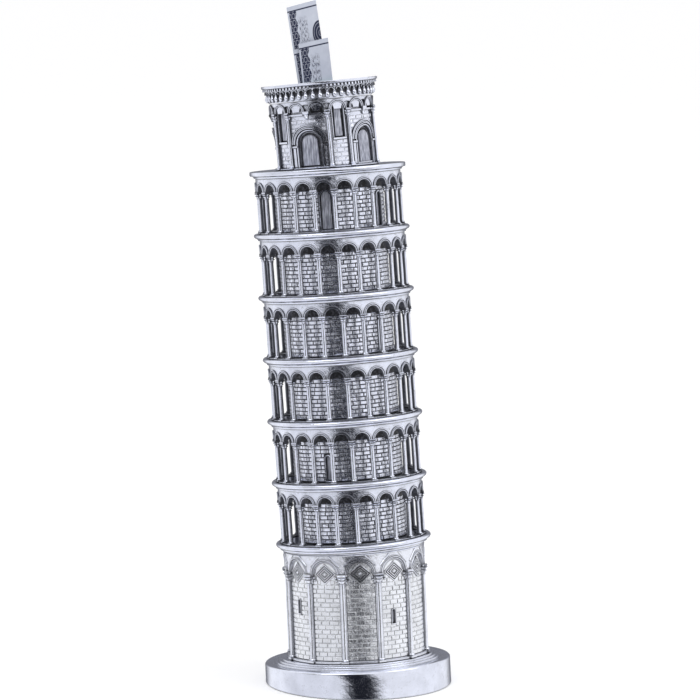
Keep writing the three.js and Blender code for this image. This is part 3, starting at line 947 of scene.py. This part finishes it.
def belfry_cornice_piece():
    low, high, inner, outer = span("belfry_cornice", BELFRY)
    points = local_points("belfry_cornice", BELFRY)
    radii = distances(points)
    parapet = radii[points[:, 2] > high - 0.1].min()
    seat = high - 4.5
    base = 30.0
    shape = Shape(BELFRY)
    shape.turned([(inner, low), (base, low), (base, high - 4.2), (base + 1.6, high - 3.6),
                  (base + 1.7, high - 3.2), (base + 1.7, high - 1.9),
                  (outer - 0.7, high - 1.75), (outer - 0.35, high - 1.5),
                  (outer - 0.1, high - 1.3), (outer, high - 1.1), (outer, high - 0.2), (outer - 0.2, high),
                  (parapet + 0.2, high), (parapet, high - 0.2), (parapet, seat), (inner, seat)], 256)
    for i in range(2 * CORBELS):
        shape.bar(TAU * i / CORBELS / 2, 1.15, high - 3.15, high - 1.8, base + 1.4, outer - 0.55, bevel=0.15)

    drop = [(0.2, 9.5, 0), (0.75, 9.2, 0), (1.2, 8.5, 0), (1.38, 7.6, 0), (1.25, 6.9, 0), (0.85, 6.3, 0),
            (0.95, 5.9, 0), (0.7, 5.6, 0), (0.62, 4.6, 0), (0.8, 4.1, 0.5), (1.1, 3.5, 1)]
    for i in range(CORBELS):
        bearing = TAU * (i + 0.5) / CORBELS
        shape.upright(bearing, base + 0.55, [(r, high - u, square, 0) for r, u, square in drop], segments=14)
        shape.arch(bearing + pi / CORBELS, 1.3, high - 5.1, (0.5, 1.9), base, steps=10)
    shape.build("belfry_cornice_cast", silver, ["belfry_cornice"])
    # painted shade: a near-black band behind the small arches under the corbels stands in for the shade
    # beneath the cornice
    shade_band = Shape(BELFRY)
    shade_band.turned([(base - 0.4, high - 7.2), (base + 0.12, high - 7.2), (base + 0.12, high - 3.9),
                   (base - 0.4, high - 3.9)], 256)
    shade_band.build("belfry_cornice_shade_band", patina_and_shade)


def roof_piece():
    low, high, _, outer = span("roof_plate", BELFRY)
    points = local_points("roof_plate", BELFRY)
    slot_points = points[distances(points) < outer - 3]
    length, width = slot_points[:, 0].max(), slot_points[:, 1].max()
    shape = Shape(BELFRY)
    shape.turned([(0, low), (outer, low), (outer, high - 0.3), (outer - 0.3, high), (outer - 2.2, high),
                  (outer - 2.5, high - 0.35), (outer - 3.0, high - 0.35), (outer - 3.3, high),
                  (0, high)], 200)
    cut = Shape(BELFRY)
    box = [(x, y, z) for z in (low - 5, high + 5) for x, y in
           ((-length, -width), (length, -width), (length, width), (-length, width))]
    cut.add(box, [(3, 2, 1, 0), (4, 5, 6, 7), (0, 1, 5, 4), (1, 2, 6, 5), (2, 3, 7, 6), (3, 0, 4, 7)])
    shape.build("roof_disc", silver_smooth, carve=cut)

    lip = Shape(BELFRY)
    rows = []
    for grow, height in ((0.0, high - 0.6), (1.3, high - 0.6), (1.3, high + 0.35), (1.0, high + 0.6),
                         (0.3, high + 0.6), (0.0, high + 0.35)):
        corner = 0.25 + grow
        outline = []
        for sx, sy, start in ((1, 1, 0), (-1, 1, 90), (-1, -1, 180), (1, -1, 270)):
            cx, cy = sx * (length - 0.2), sy * (width - 0.2)
            outline += arc((cx, cy), corner, start, start + 90, 5)
        rows.append([(x, y, height) for x, y in outline])
    lip.add([p for row in rows for p in row], loft(len(rows), len(rows[0]), closed=True))
    lip.build("slot_lip", silver_smooth, ["roof_plate"])


# -------- folded notes


def paper_material(name, seed, band, rosette, wash):
    """Printed paper. The piece's "sheet" attribute holds millimetres across and down from its top.

    band is the border's width, rosette is (across, down, radius, height ratio) and a tint starts at wash."""
    material, nodes, _ = new_material(name)
    sheet = nodes.add("ShaderNodeAttribute", attribute_name="sheet").outputs["Vector"]
    split = nodes.add("ShaderNodeSeparateXYZ")
    nodes.link(sheet, split.inputs[0])
    across, down = split.outputs[0], split.outputs[1]
    place = nodes.vector("ADD", sheet, (seed, seed, 0))

    def within(value, low, high, soft=0.12):
        return nodes.times(nodes.ramp(value, low - soft, low + soft),
                          nodes.ramp(value, high - soft, high + soft, 1.0, 0.0))

    wave = nodes.math("ABSOLUTE", nodes.math("SINE", nodes.times(down, 0.42)))
    edge = nodes.math("MULTIPLY_ADD", wave, 1.1, band)
    border = nodes.times(nodes.math("LESS_THAN", across, edge), within(across, 0.9, 40))
    border = nodes.times(border, nodes.ramp(down, 2.7, 2.9))
    lattice = nodes.times(nodes.math("SINE", nodes.times(across, 1.5)),
                         nodes.math("SINE", nodes.times(down, 0.8)))
    curls = within(nodes.math("ABSOLUTE", lattice), 0.25, 0.5, 0.08)
    curls = nodes.math("MULTIPLY_ADD", curls, -0.6, 1.0)
    border = nodes.times(border, curls)
    line = within(down, 2.5, 3.3)

    dx = nodes.math("SUBTRACT", across, rosette[0])
    dy = nodes.times(nodes.math("SUBTRACT", down, rosette[1]), rosette[3])
    ring = nodes.math("SQRT", nodes.math("ADD", nodes.times(dx, dx), nodes.times(dy, dy)))
    inside = nodes.ramp(ring, rosette[2] - 0.1, rosette[2] + 0.1, 1.0, 0.0)
    petals = nodes.ramp(nodes.math("SINE", nodes.times(ring, 4.6)), -0.95, -0.5, 0.55, 1.0)
    flower = nodes.times(inside, petals)

    stretched = nodes.stretched(place, (2.6, 0.42, 1))
    strokes = nodes.ramp(nodes.noise(stretched, 1.1, 3.0, 0.6), 0.5, 0.56)
    field = nodes.times(within(across, band + 1.6, band + 6.5, 0.5), nodes.ramp(down, 6.0, 11.0))
    strokes = nodes.times(strokes, field, 0.8)

    ink = nodes.math("MAXIMUM", nodes.math("MAXIMUM", border, line), nodes.math("MAXIMUM", flower, strokes))
    tone = nodes.mix(nodes.noise(place, 0.16, 2.0), (0.44, 0.47, 0.56, 1), (0.58, 0.61, 0.69, 1))
    tint = nodes.ramp(down, wash, wash + 6, 0.0, 0.5)
    tone = nodes.mix(tint, tone, (0.42, 0.55, 0.57, 1))
    nodes.surface("Base Color", nodes.mix(nodes.times(ink, 0.96), tone, (0.010, 0.013, 0.042, 1)))
    nodes.surface("Roughness", 0.62)
    nodes.surface("Specular IOR Level", 0.12)
    fibre = nodes.noise(place, 5.0, 4.0, 0.7)
    nodes.bump(fibre, 0.25, 0.1 * MM)
    return material


FOLDS = 3
PAPER = 0.14  # the thickness of a note folded in half


def fold_path(half, deep, fan):
    """The middle line of a sheet folded back and forth, seen from its end, front leaf first."""
    gap = 2 * deep / FOLDS
    path = []
    for leaf in range(FOLDS + 1):
        y = -deep + gap * leaf
        left = -half + gap / 2 + fan * leaf
        right = half - gap / 2 - 0.25 * leaf
        ends = (right, left) if leaf % 2 == 0 else (left, right)
        for i in range(13):
            path.append((ends[0] + (ends[1] - ends[0]) * i / 12, y))
        if leaf < FOLDS:
            cx = ends[1]
            side = -1 if leaf % 2 == 0 else 1
            for i in range(1, 6):
                angle = -pi / 2 + pi * i / 6
                path.append((cx + side * gap / 2 * cos(angle), y + gap / 2 + gap / 2 * sin(angle)))
    return path


SKEW = 1.9  # the notes were folded askew: their top edges fall this much towards the fold


def note_piece(node, fan, bow, material):
    """A folded note along its joint; fan opens its leaves and bow bends its free end, both in mm."""
    joint = next(j for j in frame["joints"] if j["child"] == node)
    up = Vector(joint["axis"]).normalized()
    along = BELFRY.to_3x3() @ Vector((1, 0, 0))
    along = (along - up * along.dot(up)).normalized()
    place = Matrix((along, up.cross(along), up)).transposed().to_4x4()
    points = local_points(node, place)
    low, high = points.min(axis=0), points.max(axis=0)
    centre = (low + high) / 2
    half, deep = (high[0] - low[0]) / 2 - PAPER, (high[1] - low[1]) / 2 - PAPER
    path = fold_path(half, deep, fan)
    rows = 40
    length = high[2] - low[2]
    verts, sheet = [], []
    count = len(path)
    for row in range(rows + 1):
        z = low[2] + length * row / rows
        free = max(0.0, (z - (high[2] - 45)) / 45)
        lean = bow * free ** 2
        for side, order in ((-1, range(count)), (1, range(count - 1, -1, -1))):
            for i in order:
                x, y = path[i]
                ahead, behind = path[min(i + 1, count - 1)], path[max(i - 1, 0)]
                dx, dy = ahead[0] - behind[0], ahead[1] - behind[1]
                off = side * PAPER / 2 / (hypot(dx, dy) or 1.0)
                curl = 0.12 * sin(x * 0.4 + z * 0.09) * free
                drop = (0.35 * (y + deep) / (2 * deep) + SKEW * (half - x) / (2 * half)) * row / rows
                verts.append((centre[0] + x - off * dy, centre[1] + y + off * dx + lean + curl, z - drop))
                sheet.append((x + half, high[2] - z, 0))
    ring = 2 * count
    faces = loft(rows + 1, ring)[:-2]
    for start in (0, rows * ring):
        faces += [(start + i, start + i + 1, start + ring - 2 - i, start + ring - 1 - i)
                  for i in range(count - 1)]
    shape = Shape(place)
    shape.add(verts, faces)
    piece = shape.build(node + "_sheet", material, [node], body=node, slot="printed_paper", sharp=60)
    attribute = piece.data.attributes.new("sheet", "FLOAT_VECTOR", "POINT")
    attribute.data.foreach_set("vector", np.array(sheet, dtype=np.float32).ravel())


def note_pieces():
    note_piece("note_rear", 0.15, 0.5, paper_material("paper_rear", 0, 4.0, (17.2, 19.0, 4.6, 0.62), 60))
    note_piece("note_middle", 0.3, 0.1, paper_material("paper_middle", 31, 4.4, (30, 30, 1.0, 1.0), 60))
    note_piece("note_front", 0.55, -0.4, paper_material("paper_front", 63, 4.6, (30, 30, 1.0, 1.0), 20))


# -------- stage and light


def add_floor():
    mesh = bpy.data.meshes.new("floor")
    size = 30  # metres, so that its edge is out of sight
    corners = [(-size, -size, 0), (size, -size, 0), (size, size, 0), (-size, size, 0)]
    mesh.from_pydata(corners, [], [(0, 1, 2, 3)])
    floor = new_object("floor", mesh)
    material, nodes, _ = new_material("floor")
    nodes.surface("Base Color", (0.96, 0.96, 0.965, 1))
    nodes.surface("Roughness", 0.9)
    nodes.surface("Emission Color", (1, 1, 1, 1))
    nodes.surface("Emission Strength", 0.12)
    mesh.materials.append(material)
    floor.visible_glossy = False


def add_world():
    """A white tent with one dark opening where the photographer stands."""
    world = bpy.data.worlds.new("studio")
    bpy.context.scene.world = world
    world.use_nodes = True
    nodes = Nodes(world.node_tree)
    background = nodes.add("ShaderNodeBackground")
    output = nodes.add("ShaderNodeOutputWorld")
    nodes.link(background.outputs[0], output.inputs[0])
    direction = nodes.add("ShaderNodeTexCoord").outputs["Generated"]
    split = nodes.add("ShaderNodeSeparateXYZ")
    nodes.link(direction, split.inputs[0])
    level = nodes.vector("NORMALIZE", nodes.vector("MULTIPLY", direction, (1, 1, 0)))

    def facing(azimuth):
        return nodes.vector("DOT_PRODUCT", level, (sin(azimuth), -cos(azimuth), 0))

    height = split.outputs[2]
    middle = nodes.ramp(nodes.math("ABSOLUTE", height), 0.3, 0.6, 1.0, 0.0)
    gap_side = CAMERA_AZIMUTH - radians(5)
    across = nodes.vector("DOT_PRODUCT", direction, (cos(gap_side), sin(gap_side), 1.5))
    gap = nodes.ramp(nodes.math("ABSOLUTE", across), 0.27, 0.45, 1.0, 0.0)
    gap = nodes.times(gap, nodes.ramp(facing(gap_side), 0.1, 0.3))
    gap = nodes.times(gap, nodes.ramp(nodes.math("ABSOLUTE", height), 0.35, 0.7, 1.0, 0.0))
    behind = nodes.ramp(facing(CAMERA_AZIMUTH + pi), cos(radians(42)), cos(radians(12)))
    behind = nodes.times(behind, middle, 0.9)
    left = nodes.ramp(facing(CAMERA_AZIMUTH - radians(60)),
                      cos(radians(50)), cos(radians(20)))
    left = nodes.times(left, middle, 0.3)
    colour = nodes.mix(left, (1.0, 1.0, 1.0, 1), (0.5, 0.51, 0.56, 1))
    colour = nodes.mix(behind, colour, (0.13, 0.135, 0.16, 1))
    colour = nodes.mix(gap, colour, (0.012, 0.013, 0.018, 1))
    seen = nodes.add("ShaderNodeLightPath").outputs["Is Camera Ray"]
    nodes.link(nodes.mix(seen, colour, (1, 1, 1, 1)), background.inputs["Color"])
    background.inputs["Strength"].default_value = 1.0


def add_light(name, place, size, power):
    light = bpy.data.lights.new(name, "AREA")
    light.shape = "DISK"
    light.size = size
    light.energy = power
    lamp = new_object(name, light)
    lamp.location = place
    lamp.rotation_euler = (TARGET - Vector(place)).to_track_quat("-Z", "Y").to_euler()


plinth_piece()
underside_pieces()
ground_pieces()
cornice_piece("ground_cornice")
for storey in range(1, 7):
    gallery_pieces(storey)
    cornice_piece(f"gallery_{storey}_cornice", plain=storey == 6)
belfry_pieces()
belfry_cornice_piece()
roof_piece()
note_pieces()

add_floor()
add_world()
add_light("key", (-1.2, -1.3, 1.6), 1.6, 9)
add_light("fill", (1.5, -0.8, 1.4), 1.6, 6)
bpy.context.scene.view_settings.view_transform = "Standard"
